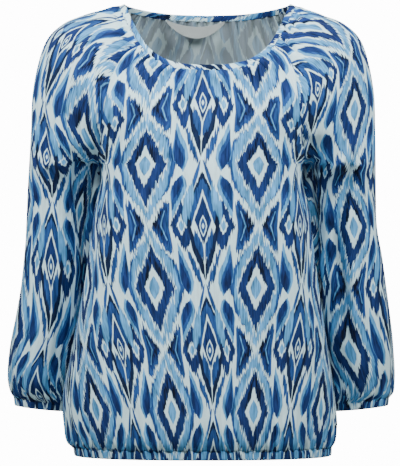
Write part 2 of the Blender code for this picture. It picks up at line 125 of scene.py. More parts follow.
# Bands: columns of the grid, and how many ruches and how high
Band = namedtuple("Band", "columns ruches height")
BINDING_BAND = Band(720, 84, 0.0005)
HEM_BAND = Band(900, 96, 0.0009)
CUFF_BAND = Band(300, 26, 0.0009)
RUCHE_SHARPNESS = 0.9
BAND_EDGE_ROUNDING = 0.7
BAND_FACE_ROUNDING = 0.6
CASING_CLOTH = 0.014
BINDING_CLOTH = 0.012
BINDING_PRINT = (0.055, 0.040)

NeckRow = namedtuple("NeckRow", "angle half_width y z lean")
NECK = table(NeckRow, [
    (0, 0, -89, -89, 22),
    (15, 34, -86, -87.2, 24),
    (28, 59, -78, -80, 28),
    (40, 78.5, -64, -66.5, 36),
    (52, 92.5, -46, -48, 46),
    (65, 103.5, -24, -26.5, 57),
    (78, 111.5, -1, -8.5, 65),
    (90, 115.5, 20, 0, 68),
    (105, 112, 45, -0.5, 56),
    (125, 94, 66, -4, 38),
    (150, 55, 84, -9, 22),
    (180, 0, 90, -11, 18),
])

TorsoRow = namedtuple("TorsoRow", "z shift half_width front back")
TORSO = table(TorsoRow, [
    (0, 9, 272, 20, 80),
    (-30, 8, 262, 45, 91),
    (-60, 6, 248, 70, 99),
    (-95, 3, 226, 91, 106),
    (-150, 1, 190, 112, 113),
    (-190, 1, 160, 119, 116),
    (ARMPIT, 1, 143, 123, 116),
    (-300, 1, 151, 125, 114),
    (-400, 0, 164, 123, 113),
    (-500, -2, 181, 126, 119),
    (-560, -3, 190, 132, 127),
    (-592, -1, 189, 134, 129),
    (-608, 0, 185, 132, 127),
    (-618, 2, 180, 127, 122),
    (-633, 3, 178, 126, 121),
])

SeamRow = namedtuple("SeamRow", "share x z")
FRONT_SEAM = table(SeamRow, [
    (0, 90, -64),
    (16, 110, -76),
    (34, 124.5, -102),
    (52, 132.5, -138),
    (70, 138, -176),
    (86, 141.5, -208),
    (100, 143, ARMPIT),
])
BACK_SEAM = table(SeamRow, [
    (0, 96, -12),
    (16, 108, -38),
    (34, 120.5, -76),
    (52, 130.5, -122),
    (70, 137.5, -170),
    (86, 141.5, -207),
    (100, 143, ARMPIT),
])
SEAMS = {-1: FRONT_SEAM, 1: BACK_SEAM}

ShoulderRow = namedtuple("ShoulderRow", "share right_x left_x y z half_depth")
SHOULDER = table(ShoulderRow, [
    (0, 116, 133, 20, -4, 60),
    (14, 134, 147, 20, -9, 80),
    (30, 165, 172, 20, -15.5, 94),
    (44, 193.5, 201, 20, -27, 99),
    (56, 215.5, 223, 19, -48, 99),
    (68, 228.5, 235.5, 18, -83, 92),
    (79, 236.5, 243, 16, -128, 80),
    (90, 238.5, 244.5, 14, -180, 67),
    (100, 241, 245, 12, ARMPIT, 58),
])

SleeveRow = namedtuple("SleeveRow", "z right_outer left_outer inner outer_y inner_y half_depth")
SLEEVE = table(SleeveRow, [
    (ARMPIT, 241, 245, 143, 12, 0, 58),
    (-238, 242, 245.2, 142, 16, 24, 58),
    (-250, 242.8, 245.6, 140.8, 20, 40, 58),
    (-268, 244, 246, 140.8, 26, 48, 59),
    (-308, 246, 247.5, 147.8, 35, 47, 60),
    (-353, 248.5, 254.5, 152.5, 40, 48, 61),
    (-398, 253, 260.5, 161, 43, 43, 62),
    (-442, 261, 266.5, 167.5, 45, 45, 62),
    (-487, 269.5, 271, 175.3, 46, 46, 61),
    (-512, 272, 272, 180.8, 46, 46, 59),
    (-532, 271, 271, 184.8, 46, 46, 54),
    (-545, 267, 268.5, 186.2, 45, 45, 47),
    (-552, 263.5, 264.5, 188.2, 44, 44, 41),
    (-565, 261.5, 262.5, 189.2, 44, 44, 40),
])

# Broad folds, as in the part, then finer creases of the same kind.
# across runs from -1 to 1 between a panel's side seams
Fold = namedtuple("Fold", "across_top z_top across_low z_low width height")
FRONT_FOLDS = table(Fold, [
    (-84, -200, -80, -440, 9, -4),
    (84, -190, 82, -460, 9, -4),
    (-52, -120, -62, -560, 8.5, 3.4),
    (50, -110, 60, -580, 8.5, 3.4),
    (-20, -110, -26, -330, 7, 2.2),
    (16, -110, 22, -380, 7, 2.4),
    (-34, -380, -40, -615, 8, -3.2),
    (30, -400, 36, -615, 8, -3),
    (2, -350, -4, -610, 7.5, 2.8),
])
FRONT_CREASES = table(Fold, [
    (-97, -190, -62, -290, 2.2, -1.6),
    (-93, -215, -66, -350, 2.6, 1.6),
    (96, -185, 64, -270, 2.2, -1.5),
    (95, -205, 70, -330, 2.6, 1.5),
    (-72, -480, -70, -612, 2.4, 1.6),
    (-56, -520, -58, -614, 2, -1.5),
    (-24, -540, -22, -615, 2, 1.4),
    (10, -500, 12, -614, 2.2, -1.5),
    (46, -530, 45, -615, 2, 1.5),
    (68, -490, 71, -612, 2.4, -1.6),
    (-8, -100, -11, -200, 2, -1.2),
    (6, -100, 5, -230, 2.2, -1.3),
    (28, -95, 34, -210, 2.2, 1.2),
    (-36, -90, -42, -215, 2.4, -1.3),
])
BACK_FOLDS = table(Fold, [
    (-84, -190, -82, -420, 9, -4),
    (84, -200, 80, -450, 9, -4),
    (-46, -70, -56, -560, 8.5, 3.4),
    (44, -60, 58, -520, 8.5, 3.2),
    (-14, -50, -20, -420, 7, 2.6),
    (18, -50, 24, -350, 7, 2.4),
    (-30, -360, -36, -615, 8, -3),
    (34, -380, 30, -610, 8, -3.2),
    (2, -390, 5, -600, 7.5, 2.8),
])
BACK_CREASES = table(Fold, [
    (-96, -185, -60, -300, 2.4, -1.6),
    (95, -195, 62, -280, 2.4, -1.6),
    (90, -225, 68, -360, 2.6, 1.4),
    (-66, -500, -68, -612, 2.4, 1.6),
    (-48, -530, -46, -614, 2, -1.4),
    (-12, -510, -14, -614, 2.2, 1.5),
    (18, -540, 20, -615, 2, -1.4),
    (52, -500, 54, -613, 2.4, 1.6),
    (-22, -40, -26, -170, 2.2, -1.2),
    (8, -40, 10, -200, 2.2, -1.3),
    (34, -35, 40, -160, 2.2, 1.2),
])

# around runs from -1 at the front of the underarm seam, over the outer side, to 1
SLEEVE_FOLDS = table(Fold, [
    (-30, -210, -66, -400, 11, 4.2),
    (-62, -200, -80, -330, 9, -4.2),
    (-36, -330, -50, -530, 11, -3.6),
    (-12, -330, -26, -540, 12, 3.6),
    (34, -190, 64, -390, 11, 4),
    (62, -210, 78, -340, 9, -4),
    (30, -350, 44, -540, 11, -3.6),
    (10, -400, 12, -545, 10, 3),
])
SLEEVE_CREASES = table(Fold, [
    (-20, -180, -62, -300, 3, -1.6),
    (-86, -230, -50, -330, 3.4, 1.8),
    (-90, -270, -56, -400, 3, -1.6),
    (-40, -400, -70, -470, 3.6, 1.6),
    (-66, -470, -60, -548, 2.6, -1.6),
    (-44, -490, -42, -549, 2.2, 1.4),
    (-16, -480, -18, -549, 2.4, -1.5),
    (20, -170, 58, -290, 3, -1.6),
    (88, -240, 52, -350, 3.4, 1.7),
    (54, -470, 50, -549, 2.6, 1.5),
    (24, -490, 26, -549, 2.2, -1.4),
])
RIGHT_SLEEVE_CREASES = table(Fold, [
    (-34, -150, -42, -260, 4, -5),
    (-52, -120, -58, -240, 3.6, 2.2),
    (-74, -110, -80, -210, 3.2, -2.2),
    (-90, -100, -92, -215, 2.4, 1.6),
    (-62, -380, -66, -500, 4.5, -3),
    (36, -160, 46, -280, 4, -4.5),
    (56, -370, 62, -500, 4.5, -3),
])
LEFT_SLEEVE_CREASES = table(Fold, [
    (-30, -160, -60, -365, 5, -7.5),
    (-44, -150, -70, -345, 4, 3),
    (-56, -290, -62, -480, 5, -13),
    (-44, -280, -49, -460, 4.5, 5),
    (-80, -110, -86, -210, 3, -2.2),
    (-60, -110, -66, -200, 3.4, 2),
    (32, -170, 54, -340, 5, -6),
    (60, -350, 56, -450, 5, -4),
])

# Where the upper sleeve falls back beside the body: a sharp ridge whose inner side
# drops into a hollow that runs out at the underarm seam
Hollow = namedtuple("Hollow", "ridge_top z_top ridge_low z_low rise depth")
RIGHT_HOLLOWS = table(Hollow, [
    (-42, -200, -86, -425, 9, 15),
    (50, -190, 84, -400, 12, 12),
])
LEFT_HOLLOWS = table(Hollow, [
    (-66, -185, -80, -400, 9, 15),
    (56, -200, 86, -410, 12, 12),
])

# Where a body panel's print runs: its middle column and the width of a repeat, which
# the gathers at the neck and the hem draw together
PrintRow = namedtuple("PrintRow", "z centre repeat")
FRONT_PRINT = table(PrintRow, [
    (-90, 1, 140),
    (-145, 3, 150),
    (-226, 1, 158),
    (-398, 7, 140),
    (-565, 16, 111),
    (-620, 17, 104),
])
BACK_PRINT = table(PrintRow, [
    (-10, 10, 136),
    (-90, 8, 150),
    (-226, 6, 157),
    (-398, 2, 142),
    (-565, -6, 113),
    (-620, -8, 105),
])
REPEAT_WIDTH = 0.160
REPEAT_HEIGHT = 0.170
BACK_PRINT_DROP = 0.021

# Where the sleeves' print runs: its place at the outer side, how much cloth is gathered
# into each metre round the sleeve, its drop there, and how its rows tilt off that side
SleevePrintRow = namedtuple("SleevePrintRow", "z outer fullness drop tilt")
LEFT_SLEEVE_PRINT = table(SleevePrintRow, [
    (0, 138, 100, 50, 40),
    (-14, 140, 100, 56, 40),
    (-130, 158, 103, 82, 15),
    (-250, 176, 138, 72, 22),
    (-311, 179, 145, 78, 26),
    (-400, 200, 127, 76, 15),
    (-500, 193, 116, 62, 5),
    (-552, 180, 135, 60, 0),
])
RIGHT_SLEEVE_PRINT = table(SleevePrintRow, [
    (0, 36, 100, 85, 40),
    (-30, 60, 100, 98, 40),
    (-120, 58, 100, 86, 40),
    (-216, 66, 110, 100, 40),
    (-287, 90, 130, 112, 42),
    (-365, 100, 130, 112, 42),
    (-456, 120, 132, 93, 40),
    (-552, 100, 145, 89, 30),
])
TILT_FROM = 0.060
TILT_ROUNDING = 0.020

# Label, as in the part but thinner
LABEL_HALF_LENGTH = 0.041
LABEL_MIDDLE_HEIGHT = 0.017
LABEL_END_HEIGHT = 0.004
LABEL_BOW = 0.011
LABEL_SAG = 0.0085
LABEL_TILT = 0.005
LABEL_WALL = 0.0006
LABEL_SHIFT = -0.0165
LABEL_ALONG = 0.009
LABEL_STAND_OFF = 0.0023
LABEL_COLUMNS = 72
LABEL_ROWS = 20

# The camera stands level with the middle of the blouse, five metres in front of it
CAMERA_X = -0.0014
CAMERA_Z = -0.3206
CAMERA_DISTANCE = 5.0
PHOTO_WIDTH = 400
PIXELS_PER_METRE = 714.3
SENSOR = 36.0

# The studio: soft light from both sides of the front, and a white backdrop
FLOOR_Z = -2.20
FLOOR_HALF = 3.0
AMBIENT_STRENGTH = 0.08
BACKDROP_STRENGTH = 14.0
# name, place, target, side, watts, spread in degrees
LAMPS = (
    ("key_left", (-1.9, -1.3, 1.4), (0, 0, 0.06), 1.0, 9.5, 46),
    ("key_right", (1.9, -1.3, 1.4), (0, 0, 0.06), 1.0, 8.2, 46),
    ("fill", (0.1, -2.8, 0.9), (0, 0, -0.06), 1.0, 2.2, 28),
    ("back", (0.3, 2.6, 1.1), (0, 0, -0.2), 1.4, 26, 180),
)


# ---- reading the tables

def smooth_read(knots, values, at):
    """Read a smooth cubic curve through the knots; its slopes come from the neighbours."""
    at = np.clip(at, knots[0], knots[-1])
    slopes = np.gradient(values, knots)
    low = np.clip(np.searchsorted(knots, at, side="right") - 1, 0, len(knots) - 2)
    span = knots[low + 1] - knots[low]
    t = (at - knots[low]) / span
    start = (1 + 2 * t) * (1 - t) ** 2 * values[low] + t * (1 - t) ** 2 * span * slopes[low]
    end = t * t * (3 - 2 * t) * values[low + 1] - t * t * (1 - t) * span * slopes[low + 1]
    return start + end


def read(rows, at):
    """A table's row at a value of its first column, on smooth curves down its columns."""
    columns = np.array(sorted(rows)).T
    return rows[0]._make(smooth_read(columns[0], column, at) for column in columns)


def fade(t):
    """1 at t = 0, falling smoothly to 0 at t = 1."""
    t = np.clip(t, 0.0, 1.0)
    return (1 - t) ** 2 * (1 + 2 * t)


def signed_power(value, power):
    return np.sign(value) * np.abs(value) ** power


def evenly(cells, start=0.0):
    return np.linspace(start, 1.0, cells + 1)


# ---- the blouse's form

def neck_point(angle, along):
    """A point of the binding: angle 0 at the centre front, 90 at the left shoulder."""
    row = read(NECK, np.abs(angle))
    lean = np.radians(row.lean)
    aside = np.sign(angle) * row.half_width
    out_x = aside / NECK_HALF_WIDTH
    out_y = (row.y - NECK_MIDDLE_Y) / NECK_DEPTH
    length = np.hypot(out_x, out_y)
    x = NECK_CENTRE + aside + along * np.sin(lean) * out_x / length
    y = row.y + along * np.sin(lean) * out_y / length
    return np.stack([x, y, row.z - along * np.cos(lean)], axis=-1)


def seam_turn(facing, share):
    """How far round the torso section, in radians, a point of the raglan seam lies."""
    row = read(SEAMS[facing], share)
    ratio = row.x / read(TORSO, row.z).half_width
    return np.arcsin(np.clip(ratio, 0.0, 1.0) ** (BODY_SQUARENESS / 2))


def section_point(facing, turn, z):
    """A point of a torso section: turn is 0 at its middle and a quarter turn at its side."""
    row = read(TORSO, z)
    power = 2 / BODY_SQUARENESS
    x = row.shift + row.half_width * signed_power(np.sin(turn), power)
    depth = row.front if facing < 0 else row.back
    depth = depth * np.clip(np.cos(turn), 0.0, 1.0) ** power
    return np.stack([x, facing * (depth + PANEL_GAP / 2), z], axis=-1)


def raglan_gap(share):
    return PANEL_GAP + (UNDERARM_GAP - PANEL_GAP) * share ** GAP_WIDENING


def neckline(facing, across):
    """The upper edge of a body panel, tucked a little way into the neck binding."""
    if facing < 0:
        angle = across * FRONT_SEAM_ANGLE
    else:
        turned = 180 - np.abs(across) * (180 - BACK_SEAM_ANGLE)
        angle = np.where(across < 0, -turned, turned)
    return neck_point(angle, BINDING_WIDTH - TUCK)


def seam_point(facing, side, share):
    """A point of the sleeve's edge at a raglan seam, half the gap away from the seam."""
    rows = SEAMS[facing]
    corner = neckline(facing, np.float64(side))
    pull = corner - section_point(facing, side * seam_turn(facing, 0.0), rows[0].z)
    point = section_point(facing, side * seam_turn(facing, share), read(rows, share).z)
    point = point + pull * fade(share / NECK_BLEND)
    point[0] += side * raglan_gap(share) / 2
    return point


def body_grid(facing):
    """The smooth panel: rows from raglan seam to raglan seam, then from side to side."""
    across = evenly(BODY_COLUMNS, -1.0)
    top = neckline(facing, across)
    rows = []
    for share in evenly(BODY_CAP_ROWS):
        seam_z = read(SEAMS[facing], share).z
        z = seam_z + (top[:, 2] - top[0, 2]) * fade(share)
        row = section_point(facing, across * seam_turn(facing, share), z)
        if share == 0:
            pull = top - row
        row = row + pull * fade(share / NECK_BLEND)
        row[0, 0] += raglan_gap(share) / 2
        row[-1, 0] -= raglan_gap(share) / 2
        rows.append(row)
    for share in evenly(BODY_LOW_ROWS)[1:]:
        z = np.full_like(across, ARMPIT_Z + (HEM_TOP - TUCK - ARMPIT_Z) * share)
        rows.append(section_point(facing, across * np.pi / 2, z))
    return np.array(rows)


def sleeve_ring(side, share, around):
    """An open ring of the sleeve cap, from the front seam over the shoulder to the back."""
    front = seam_point(-1, side, share)
    back = seam_point(1, side, share)
    row = read(SHOULDER, share)
    top = np.array([side * (row.left_x if side > 0 else row.right_x), row.y, row.z])
    chord = back - front
    half_chord = np.linalg.norm(chord) / 2
    half_depth = max(row.half_depth, half_chord)
    opening = math.asin(min(1.0, half_chord / half_depth))
    if share < 1:
        depth_axis = chord / (2 * half_chord) * half_depth
    else:
        depth_axis = np.array([0.0, half_depth, 0.0])
    narrowing = CAP_NARROWING * math.sin(math.pi * share)
    depth_axis = depth_axis / (1 + narrowing * math.cos(opening))
    out_axis = (top - (front + back) / 2) / (1 + math.cos(opening))
    centre = top - out_axis
    turn = around * (math.pi - opening)
    reach = np.sin(turn) * (1 - narrowing * np.cos(turn))
    return centre + np.outer(np.cos(turn), out_axis) + np.outer(reach, depth_axis)


def tube_ring(side, z, around):
    """A closed ring of the sleeve below the armpit."""
    row = read(SLEEVE, z)
    outer = row.left_outer if side > 0 else row.right_outer
    inner = row.inner + UNDERARM_GAP / 2 + side * read(TORSO, z).shift
    turn = around * np.pi
    x = (outer + inner) / 2 + (outer - inner) / 2 * np.cos(turn)
    y = (row.outer_y + row.inner_y) / 2 + (row.outer_y - row.inner_y) / 2 * np.cos(turn)
    y = y + row.half_depth * np.sin(turn)
    drop = CUFF_DROP * fade((z - CUFF_TOP) / CUFF_DROP_LENGTH) * (0.5 - 0.5 * np.cos(turn))
    return np.stack([side * x, y, z - drop], axis=-1)


def sleeve_grid(side):
    """The smooth sleeve: cap rings, then tube rings down into the cuff."""
    around = evenly(SLEEVE_COLUMNS, -1.0)
    angles = FRONT_SEAM_ANGLE + (BACK_SEAM_ANGLE - FRONT_SEAM_ANGLE) * (around + 1) / 2
    top = neck_point(side * angles, BINDING_WIDTH - TUCK)
    top[0, 0] += side * PANEL_GAP / 2
    top[-1, 0] += side * PANEL_GAP / 2
    pull = top - sleeve_ring(side, 0.0, around)
    rows = []
    for share in evenly(SLEEVE_CAP_ROWS):
        rows.append(sleeve_ring(side, share, around) + pull * fade(share / CAP_BLEND))
    for share in evenly(SLEEVE_LOW_ROWS)[1:]:
        rows.append(tube_ring(side, ARMPIT_Z + (CUFF_TOP - TUCK - ARMPIT_Z) * share, around))
    return np.array(rows)


# ---- folds and gathers

def grid_normals(grid, inside):
    """Unit normals of a grid of points, turned away from the points inside."""
    down = np.gradient(grid, axis=0)
    along = np.gradient(grid, axis=1)
    normals = np.cross(along, down)
    normals /= np.maximum(np.linalg.norm(normals, axis=-1, keepdims=True), 1e-12)
    flip = np.sign(np.sum(normals * (grid - inside), axis=-1))
    return normals * flip[..., None]


def fold_heights(folds, across, z):
    """The heights of folds: soft ridges or troughs that taper at both ends."""
    total = np.zeros(z.shape)
    for fold in folds:
        share = (fold.z_top - z) / (fold.z_top - fold.z_low)
        centre = fold.across_top + (fold.across_low - fold.across_top) * share
        taper = np.sin(np.pi * np.clip(share, 0.0, 1.0)) ** FOLD_TAPER
        total += fold.height * taper * np.exp(-((across - centre) / fold.width) ** 2)
    return total


def hollow_depths(hollows, around, z):
    """The depths of the hollows beside the body, by each one's own side of its ridge."""
    total = np.zeros(z.shape)
    for hollow in hollows:
        share = np.clip((hollow.z_top - z) / (hollow.z_top - hollow.z_low), 0.0, 1.0)
        ridge = hollow.ridge_top + (hollow.ridge_low - hollow.ridge_top) * share
        side = np.sign(hollow.ridge_top)
        inward = side * (around - ridge)
        falling = 1 - fade(inward / hollow.rise)
        closing = 1 - fade((1 - side * around) / hollow.rise)
        total += hollow.depth * np.sin(np.pi * share) ** HOLLOW_TAPER * falling * closing
    return total


def wave(parts, at, seed):
    return sum(strength * np.sin(pace * at + shift * seed) for strength, pace, shift in parts)


def gathers(at, count, seed):
    """Round ridges between sharp valleys, unevenly spaced and unevenly strong."""
    phase = np.pi * count * (at / 2 + GATHER_DRIFT * wave(GATHER_WAVE, at, seed))
    strength = 1 + UNEVEN_SIZE * wave(GATHER_WAVE, 2.1 * at, seed + 1.7)
    return strength * (2 * np.abs(np.cos(phase)) ** GATHER_SHARPNESS - 1)


def gather_reach(distance, length, at, seed):
    """How strong a gather is at a distance from its seam; each runs out at its own length."""
    own_length = length * (1 + UNEVEN_REACH * wave(GATHER_WAVE, 1.7 * at, seed))
    rise = AT_SEAM + (1 - AT_SEAM) * np.clip(distance / GATHER_RISE, 0, 1)
    return rise * fade(distance / own_length)


def gathered(at, kind, distance, seed):
    """The gathers at a seam: long ones, and short ones twice as close between them."""
    long_ones = gathers(at, kind.count, seed + 5)
    long_ones = long_ones * gather_reach(distance, kind.length, at, seed + 2)
    short_ones = gathers(at, kind.count * 2, seed)
    short_ones = short_ones * gather_reach(distance, kind.length / 2, at, seed)
    return kind.height * (long_ones + SHORT_GATHERS * short_ones)


def seam_swell(columns, width):
    """The cloth swells a little on both sides of a seam, so that the seam lies in a valley."""
    column = np.arange(columns)
    from_seam = np.clip(np.minimum(column, column[::-1]) / width, 0.0, 1.0)
    return SEAM_SWELL * np.sin(np.pi * np.sqrt(from_seam))


def edge_freedom(columns, width):
    """0 on the sewn sides, rising to 1 within a few columns."""
    column = np.arange(columns)
    return 1 - fade(np.minimum(column, column[::-1]) / width)


def folded(smooth, heights, neck, low, seed, swell_width, inside):
    """Add the gathers at both sewn edges to the folds' heights, and move the cloth by them."""
    columns = smooth.shape[1]
    at = np.linspace(-1.0, 1.0, columns)
    down = run_down(smooth, 0)
    heights = heights + gathered(at, neck, down, seed)
    heights += gathered(at, low, down[-1] - down, seed + 3)
    heights *= edge_freedom(columns, FREE_COLUMNS)
    heights += seam_swell(columns, swell_width)
    return smooth + grid_normals(smooth, inside) * heights[..., None]


def folded_body(facing, smooth):
    across = evenly(BODY_COLUMNS, -1.0)
    if facing < 0:
        folds, neck, seed = FRONT_FOLDS + FRONT_CREASES, FRONT_NECK, 1.0
    else:
        folds, neck, seed = BACK_FOLDS + BACK_CREASES, BACK_NECK, 3.4
    heights = fold_heights(folds, across, smooth[..., 2])
    return folded(smooth, heights, neck, HEM, seed, BODY_SWELL_COLUMNS, body_axis(smooth))


def folded_sleeve(side, smooth):
    z = smooth[..., 2]
    around = evenly(SLEEVE_COLUMNS, -1.0)
    own_creases = LEFT_SLEEVE_CREASES if side > 0 else RIGHT_SLEEVE_CREASES
    heights = fold_heights(SLEEVE_FOLDS + SLEEVE_CREASES + own_creases, around, z)
    heights -= hollow_depths(LEFT_HOLLOWS if side > 0 else RIGHT_HOLLOWS, around, z)
    inside = (smooth[:, :1] + smooth[:, SLEEVE_COLUMNS // 2][:, None]) / 2
    return folded(smooth, heights, SLEEVE_NECK, CUFF, 2.0 + side, SLEEVE_SWELL_COLUMNS, inside)


# ---- the print's place on the cloth

def run_down(grid, start_row):
    """The length down each column of a grid, measured from one of its rows."""
    steps = np.linalg.norm(np.diff(grid, axis=0), axis=-1)
    run = np.concatenate([np.zeros((1, grid.shape[1])), np.cumsum(steps, axis=0)])
    return run - run[start_row]


def run_across(grid, start_column):
    """The length along each row of a grid, measured from one of its columns."""
    steps = np.linalg.norm(np.diff(grid, axis=1), axis=-1)
    run = np.concatenate([np.zeros((grid.shape[0], 1)), np.cumsum(steps, axis=1)], axis=1)
    return run - run[:, start_column][:, None]


def body_print(facing, smooth):
    """Where the cloth of a panel was before it was gathered, in metres."""
    middle = smooth[:, BODY_COLUMNS // 2]
    row = read(FRONT_PRINT if facing < 0 else BACK_PRINT, middle[:, 2:])
    u = run_across(smooth, BODY_COLUMNS // 2) + middle[:, :1] - row.centre
    v = run_down(smooth, BODY_CAP_ROWS)
    if facing > 0:
        v = v + BACK_PRINT_DROP
    return np.stack([u * (REPEAT_WIDTH / row.repeat), v], axis=-1)


def sleeve_print(side, smooth):
    """The same for a sleeve, whose warp runs from the neck over the shoulder to the cuff."""
    z = smooth[:, SLEEVE_COLUMNS // 2, 2:]
    row = read(LEFT_SLEEVE_PRINT if side > 0 else RIGHT_SLEEVE_PRINT, z)
    around = run_across(smooth, SLEEVE_COLUMNS // 2)
    u = row.outer + row.fullness * around
    tilted = row.tilt * (TILT_FROM - np.hypot(around, TILT_ROUNDING))
    return np.stack([u, run_down(smooth, SLEEVE_CAP_ROWS) + row.drop + tilted], axis=-1)


# ---- meshes

def mesh_from_grid(name, grid, cloth, loop_along=False, loop_down=False, weld_from=None):
    """Quads over a grid of points. A loop joins its last column or row to its first, and
    from the row weld_from down the last column is the first one. The UV map holds the
    cloth's own coordinates, whose grid has one more row or column for each loop."""
    row_count, column_count = grid.shape[:2]
    number = np.arange(row_count * column_count).reshape(row_count, column_count)
    if weld_from is not None:
        number[weld_from:, -1] = number[weld_from:, 0]
    if loop_down:
        number = np.concatenate([number, number[:1]])
    if loop_along:
        number = np.concatenate([number, number[:, :1]], axis=1)
    faces = corners_of(number)
    used = np.unique(faces)
    order = np.zeros(row_count * column_count, int)
    order[used] = np.arange(len(used))
    mesh = bpy.data.meshes.new(name)
    mesh.from_pydata(grid.reshape(-1, 3)[used].tolist(), [], order[faces].tolist())
    layer = mesh.uv_layers.new(name="cloth")
    layer.data.foreach_set("uv", corners_of(cloth).ravel())
    mesh.shade_smooth()
    return mesh


def corners_of(grid):
    """The four corners of each cell of a grid, cell by cell."""
    corners = (grid[:-1, :-1], grid[:-1, 1:], grid[1:, 1:], grid[1:, :-1])
    joined = np.stack(corners, axis=2)
    return joined.reshape((-1, 4) + grid.shape[2:])


def face_outwards(mesh, inside):
    """Turn the faces over if most of them look towards the points inside."""
    centres, normals = np.zeros((2, len(mesh.polygons) * 3))
    mesh.polygons.foreach_get("center", centres)
    mesh.polygons.foreach_get("normal", normals)
    centres = centres.reshape(-1, 3)
    if np.sum((centres - inside(centres)) * normals.reshape(-1, 3)) < 0:
        mesh.flip_normals()


def body_axis(points):
    """The nearest points of the blouse's own upright axis."""
    return points * np.array([0.0, 0.0, 1.0])


def new_object(name, data):
    made = bpy.data.objects.new(name, data)
    bpy.context.scene.collection.objects.link(made)
    return made


def piece(node, mesh, surfaces, wall=None):
    """A piece of the scene that rides on the body and stands for one node."""
    made = new_object("cloth_" + node, mesh)
    for surface in surfaces:
        mesh.materials.append(surface)
    if wall:
        solid = made.modifiers.new("Wall", "SOLIDIFY")
        solid.thickness = wall
        solid.offset = 0
        solid.use_even_offset = False
        solid.use_rim = True
        solid.material_offset = len(surfaces) - 1
    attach(made, "root")
    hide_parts(node)
    return made


# ---- bands

def band_grid(points_at, band, seed):
    """A folded band as a closed loop: columns round the blouse, rows round its section."""
    turn = np.arange(band.columns) / band.columns
    section = np.arange(BAND_AROUND) / BAND_AROUND * 2 * np.pi
    edge = 0.5 - 0.5 * signed_power(np.cos(section), BAND_EDGE_ROUNDING)
    half_wall = signed_power(np.sin(section), BAND_FACE_ROUNDING) * BAND_WALL / 2
    rows = np.array([points_at(turn, at) for at in edge])
    below = np.array([points_at(turn, at + 0.05) for at in edge])
    along = np.roll(rows, -1, axis=1) - np.roll(rows, 1, axis=1)
    normals = np.cross(along, below - rows)
    normals /= np.linalg.norm(normals, axis=-1, keepdims=True)
    centre = rows.mean(axis=(0, 1), keepdims=True)
    normals *= np.sign(np.sum(normals * (rows - centre), axis=-1, keepdims=True))
    strength = AT_SEAM + (1 - AT_SEAM) * np.sqrt(np.sin(np.pi * edge))
    ruches = strength[:, None] * loop_gathers(turn, band.ruches, seed)
    offset = half_wall[:, None] + band.height * ruches
    return rows + normals * offset[..., None]


def loop_gathers(turn, count, seed):
    """Ruches round a closed loop: their spacing and strength repeat once a turn."""
    whole = 2 * np.pi * turn
    phase = count * whole / 2 + wave(RUCHE_DRIFT, whole, seed)
    strength = 1 + wave(RUCHE_SIZE, whole, seed)
    return strength * (2 * np.abs(np.cos(phase)) ** RUCHE_SHARPNESS - 1)


def across_band(width):
    """How far down the cloth each row of a band's section lies, on both of its faces."""
    section = np.arange(BAND_AROUND + 1) / BAND_AROUND * 2 * np.pi
    return (0.5 - 0.5 * np.cos(section)) * width


def edge_print(cloth, columns):
    """The print coordinates along a panel's lowest row, read at evenly spaced places."""
    at = evenly(columns)
    places = np.linspace(0.0, 1.0, cloth.shape[1])
    return np.stack([np.interp(at, places, cloth[-1, :, axis]) for axis in (0, 1)], axis=-1)


def casing_print(edge):
    """A casing is turned up from its panel, so the print runs on from the panel's edge."""
    cloth = np.repeat(edge[None], BAND_AROUND + 1, axis=0)
    cloth[..., 1] += across_band(CASING_CLOTH)[:, None]
    return cloth


def binding_print():
    """The binding is cut on the bias, so the print's shapes lie aslant in it."""
    columns = BINDING_BAND.columns
    ring = binding_at(np.arange(columns + 1) / columns, 0.5)
    along = run_across(ring[None], 0)
    across = across_band(BINDING_CLOTH)[:, None]
    u = (along - across) * math.sqrt(0.5) + BINDING_PRINT[0]
    v = (along + across) * math.sqrt(0.5) + BINDING_PRINT[1]
    return np.stack([u, v], axis=-1)


def binding_at(turn, edge):
    return neck_point(360 * turn - 180, edge * BINDING_WIDTH)


def hem_at(turn, edge):
    across = np.where(turn < 0.5, 4 * turn - 1, 3 - 4 * turn)
    z = np.full_like(turn, HEM_TOP - edge * HEM_CASING)
    front, back = (section_point(facing, across * np.pi / 2, z) for facing in (-1, 1))
    return np.where((turn < 0.5)[:, None], front, back)


def cuff_at(side):
    def at(turn, edge):
        return tube_ring(side, CUFF_TOP - edge * CUFF_CASING, 2 * turn - 1)
    return at


# ---- the print

# Dye colours, and how far each dye spreads beyond its shapes, in millimetres
CREAM = (0.640, 0.900, 0.960)
LIGHT = (0.095, 0.320, 0.600)
MID = (0.018, 0.064, 0.215)
ROYAL = (0.011, 0.029, 0.120)
DARK = (0.006, 0.015, 0.050)
NAVY = (0.003, 0.007, 0.020)
SPREADS = {CREAM: 0.0, LIGHT: 0.5, MID: 0.6, ROYAL: 0.6, DARK: 0.4, NAVY: 0.0}

# The motifs are made of five plain forms, each a few rows of (down, inner, outer) in
# millimetres of flat cloth. inner and outer are distances from the ogees' column, and
# OGEE and EYE are the middles of the two columns
OGEE = 0.0
EYE = 80.0
INNERMOST = -15.0
OUTERMOST = 95.0
ROUND_SHARES = (0.0, 0.12, 0.28, 0.5, 0.72, 0.88, 1.0)
DROP_SHARES = (0.0, 0.3, 0.55, 0.75, 0.88, 0.96, 1.0)
DROP_WEIGHT = 1.6
CHEVRON_END = 0.3


def row_at(down, middle, reach):
    return (down, max(middle - reach, INNERMOST), min(middle + reach, OUTERMOST))


def slanted(top, low, top_at, low_at, half_width):
    """A pointed oval whose middle runs aslant."""
    return tuple(row_at(top + (low - top) * share, top_at + (low_at - top_at) * share,
                        half_width * math.sin(math.pi * share)) for share in ROUND_SHARES)


def almond(top, low, middle, half_width):
    """An upright pointed oval."""
    return slanted(top, low, middle, middle, half_width)


